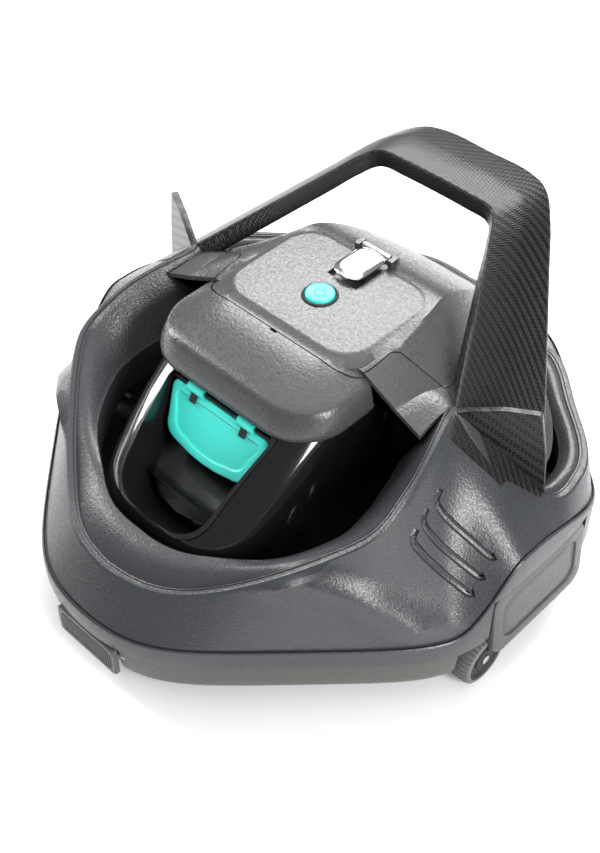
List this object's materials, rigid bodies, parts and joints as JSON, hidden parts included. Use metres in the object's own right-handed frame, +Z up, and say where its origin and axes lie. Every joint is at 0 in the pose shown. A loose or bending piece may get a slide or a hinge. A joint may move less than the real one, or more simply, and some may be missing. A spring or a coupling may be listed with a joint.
{
  "type": "robotic pool cleaner",
  "caption": "Cordless pool cleaner with a domed hull, leaning pump pod, hinged outlet flap, carbon-look carry handle and wheels.",
  "frame": {"origin": "on the floor, under the middle of the whole machine", "axes": "+Z up, -Y out of the front where the outlet mouth is, +X to the right seen from behind"},
  "size_m": [0.3582, 0.382, 0.202],
  "materials": {
    "hull": "fine moulded grain, satin",
    "visor": "fine leather-like grain, satin",
    "tray": "fine moulded grain",
    "pod": "gloss",
    "duct": "semi-gloss",
    "teal": "satin",
    "chrome": "polished",
    "carbon": "carbon weave under clear lacquer",
    "rubber": "matte",
    "wheel": "satin, worn tread",
    "steel": "brushed",
    "inside": "matte",
    "battery": "shrink wrap",
    "circuit": "solder mask"
  },
  "bodies": {
    "hull": {"upper_shell": "hull", "lower_tray": "tray", "rear_cover": "visor", "front_visor": "visor", "carry_handle": "carbon", "pump_pod": "pod", "outlet_duct": "duct", "outlet_flap_pin": "steel", "button_ring": "rubber", "button_spring": "steel", "charge_flap_pin": "steel", "charge_socket": "rubber", "charge_contact_right": "steel", "charge_contact_left": "steel", "charge_hinge_block_right": "visor", "charge_hinge_block_left": "visor", "side_panel_right": "hull", "side_panel_left": "hull", "front_latch_pin": "steel", "rear_latch_pin": "steel", "motor": "steel", "motor_seat": "inside", "impeller_shroud": "inside", "filter_frame": "inside", "filter_screen": "steel", "battery_pack": "battery", "control_board": "circuit", "float_block_right": "inside", "float_block_left": "inside", "intake_brush_right": "rubber", "intake_brush_left": "rubber", "axle_front_right": "steel", "axle_front_left": "steel", "axle_rear_right": "steel", "axle_rear_left": "steel"},
    "outlet_flap": {"outlet_flap": "teal"},
    "power_button": {"power_button": "teal"},
    "charge_flap": {"charge_flap": "chrome"},
    "front_latch": {"front_latch": "tray"},
    "rear_latch": {"rear_latch": "tray"},
    "impeller": {"impeller": "inside", "motor_shaft": "steel"},
    "inlet_flap_right": {"inlet_flap_right": "rubber"},
    "inlet_flap_left": {"inlet_flap_left": "rubber"},
    "wheel_front_right": {"tyre_front_right": "wheel", "wheel_hub_front_right": "rubber"},
    "wheel_front_left": {"tyre_front_left": "wheel", "wheel_hub_front_left": "rubber"},
    "wheel_rear_right": {"tyre_rear_right": "wheel", "wheel_hub_rear_right": "rubber"},
    "wheel_rear_left": {"tyre_rear_left": "wheel", "wheel_hub_rear_left": "rubber"}
  },
  "joints": [
    {"name": "outlet_flap_hinge", "type": "hinge", "parent": "hull", "child": "outlet_flap", "pos_m": [0, -0.0755, 0.1362], "axis": [-1, 0, 0], "range_deg": [0, 45]},
    {"name": "power_button_press", "type": "slide", "parent": "hull", "child": "power_button", "axis": [0, 0, -1], "range_m": [0, 0.0018], "stiffness_N_per_m": 300, "springref_m": -0.001},
    {"name": "charge_flap_hinge", "type": "hinge", "parent": "hull", "child": "charge_flap", "pos_m": [0, 0.0515, 0.1734], "axis": [-1, 0, 0], "range_deg": [0, 100]},
    {"name": "front_latch_hinge", "type": "hinge", "parent": "hull", "child": "front_latch", "pos_m": [0, -0.1846, 0.035], "axis": [-1, 0, 0], "range_deg": [0, 8]},
    {"name": "rear_latch_hinge", "type": "hinge", "parent": "hull", "child": "rear_latch", "pos_m": [0, 0.1846, 0.035], "axis": [1, 0, 0], "range_deg": [0, 25]},
    {"name": "impeller_spin", "type": "hinge", "parent": "hull", "child": "impeller", "pos_m": [0, -0.0145, 0.06], "axis": [0, 0, 1], "continuous": true},
    {"name": "inlet_flap_right_hinge", "type": "hinge", "parent": "hull", "child": "inlet_flap_right", "pos_m": [0.062, -0.0695, 0.0226], "axis": [1, 0, 0], "range_deg": [0, 22]},
    {"name": "inlet_flap_left_hinge", "type": "hinge", "parent": "hull", "child": "inlet_flap_left", "pos_m": [-0.062, -0.0695, 0.0226], "axis": [1, 0, 0], "range_deg": [0, 22]},
    {"name": "wheel_front_right_spin", "type": "hinge", "parent": "hull", "child": "wheel_front_right", "pos_m": [0.162, -0.0345, 0.018], "axis": [1, 0, 0], "continuous": true},
    {"name": "wheel_front_left_spin", "type": "hinge", "parent": "hull", "child": "wheel_front_left", "pos_m": [-0.162, -0.0345, 0.018], "axis": [1, 0, 0], "continuous": true},
    {"name": "wheel_rear_right_spin", "type": "hinge", "parent": "hull", "child": "wheel_rear_right", "pos_m": [0.108, 0.0855, 0.018], "axis": [1, 0, 0], "continuous": true},
    {"name": "wheel_rear_left_spin", "type": "hinge", "parent": "hull", "child": "wheel_rear_left", "pos_m": [-0.108, 0.0855, 0.018], "axis": [1, 0, 0], "continuous": true}
  ]
}
